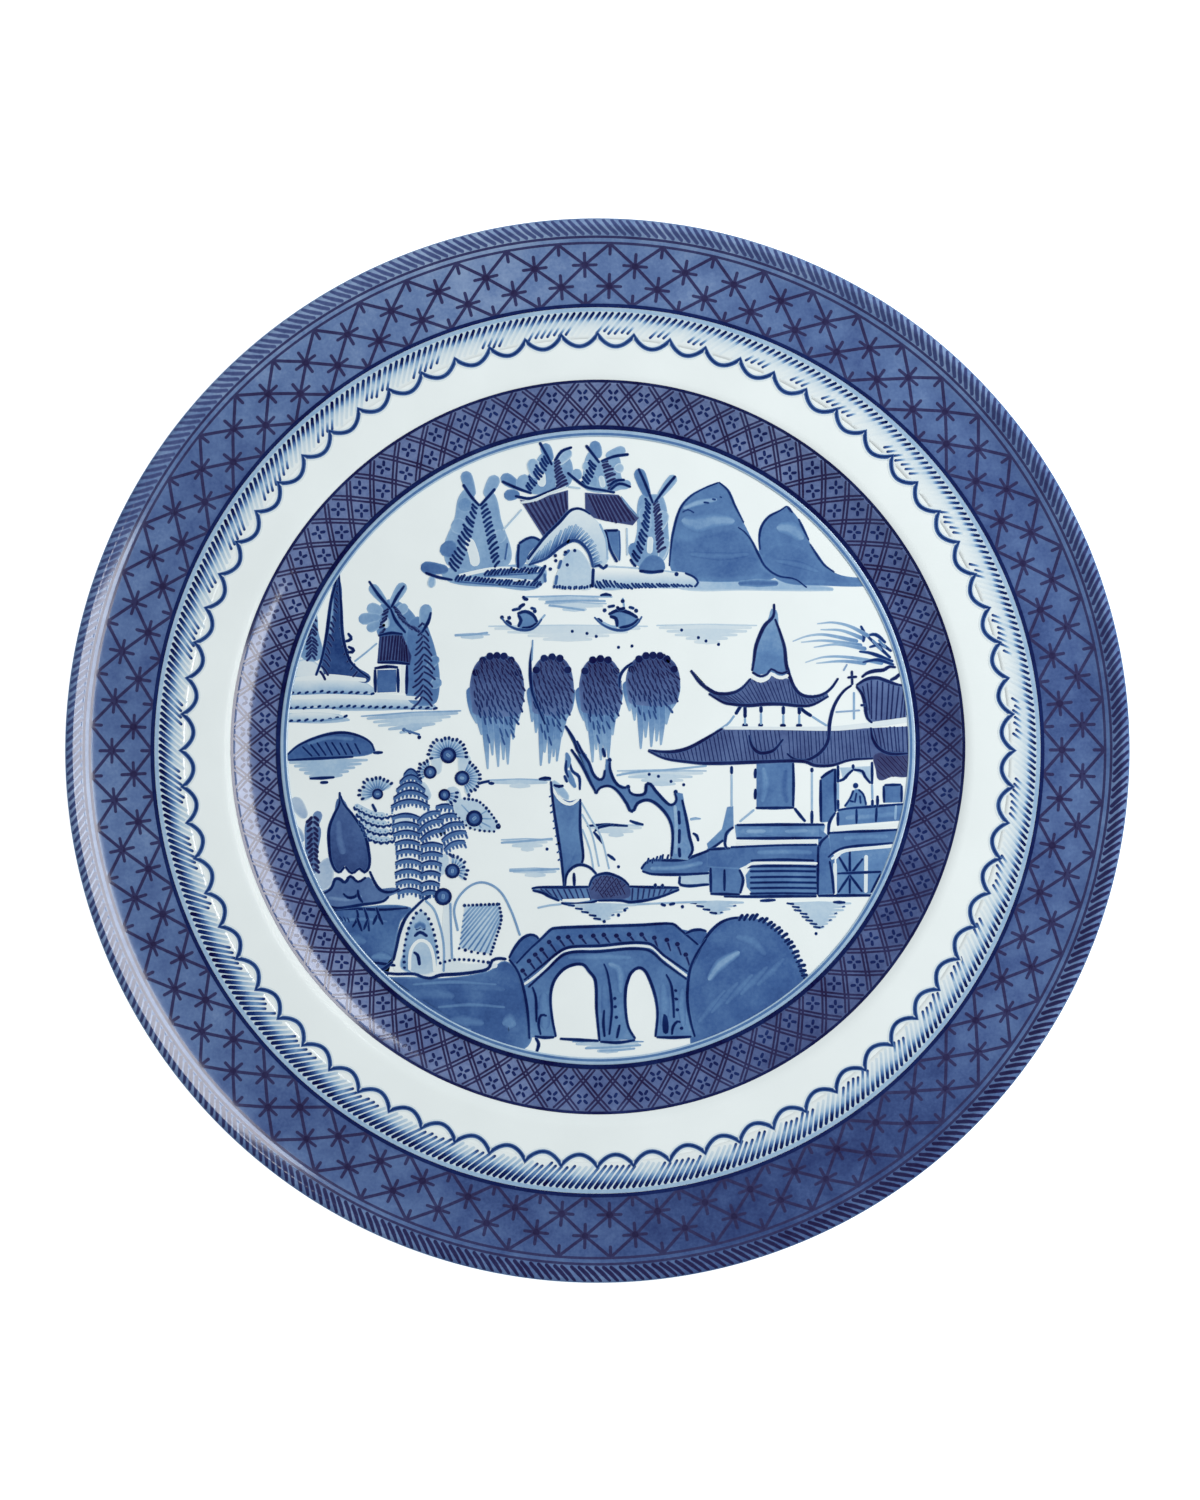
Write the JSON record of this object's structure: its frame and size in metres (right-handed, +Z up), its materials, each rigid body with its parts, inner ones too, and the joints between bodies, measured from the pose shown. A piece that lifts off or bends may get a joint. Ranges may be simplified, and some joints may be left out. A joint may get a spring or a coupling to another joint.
{
  "type": "dinner plate",
  "caption": "Round china dinner plate with a foot ring, a shallow well, a turned-up lip and blue-and-white fired-on decoration of borders and a river landscape.",
  "frame": {"origin": "centre of the circle on which the foot ring stands", "axes": "+Z up through the centre of the plate, +Y towards the top of the painted landscape, +X to its right"},
  "size_m": [0.254, 0.254, 0.0202],
  "materials": {
    "body_porcelain": "bare fired clay, smooth matt, seen only under the foot ring",
    "clear_glaze": "glossy cool white glaze with a faint green-blue tint",
    "rim_blue": "mottled mid-blue ground under a glossy glaze",
    "navy_print": "dark cobalt line work, slightly brown where it is thickest",
    "pale_wash": "thin pale cobalt wash",
    "diaper_blue": "close trellis of dark lines on mid blue",
    "light_line": "light cobalt line",
    "deep_blue": "dark brushwork of leaves, sail and reeds",
    "house_blue": "mid-blue wash with navy outlines",
    "garden_blue": "pale wash with close dark brush marks",
    "island_blue": "soft layered washes with dark strokes",
    "bank_blue": "broad brushed cobalt wash"
  },
  "bodies": {
    "root": {"porcelain_body": "body_porcelain", "outer_glaze": "clear_glaze", "base_glaze": "clear_glaze", "rim_wash": "rim_blue", "rope_edge_print": "navy_print", "lattice_rings": "navy_print", "rain_cloud_wash": "pale_wash", "scallop_line": "navy_print", "diaper_wash": "diaper_blue", "diaper_rings": "navy_print", "well_line": "light_line", "willow_tree": "deep_blue", "teahouse": "house_blue", "footbridge": "bank_blue", "sailing_boat": "deep_blue", "flower_garden": "garden_blue", "garden_hut": "house_blue", "west_island": "island_blue", "far_island": "island_blue", "mountains": "bank_blue", "fishing_boats": "house_blue", "small_islet": "bank_blue", "river_banks": "bank_blue", "water_ripples": "pale_wash"}
  },
  "joints": []
}
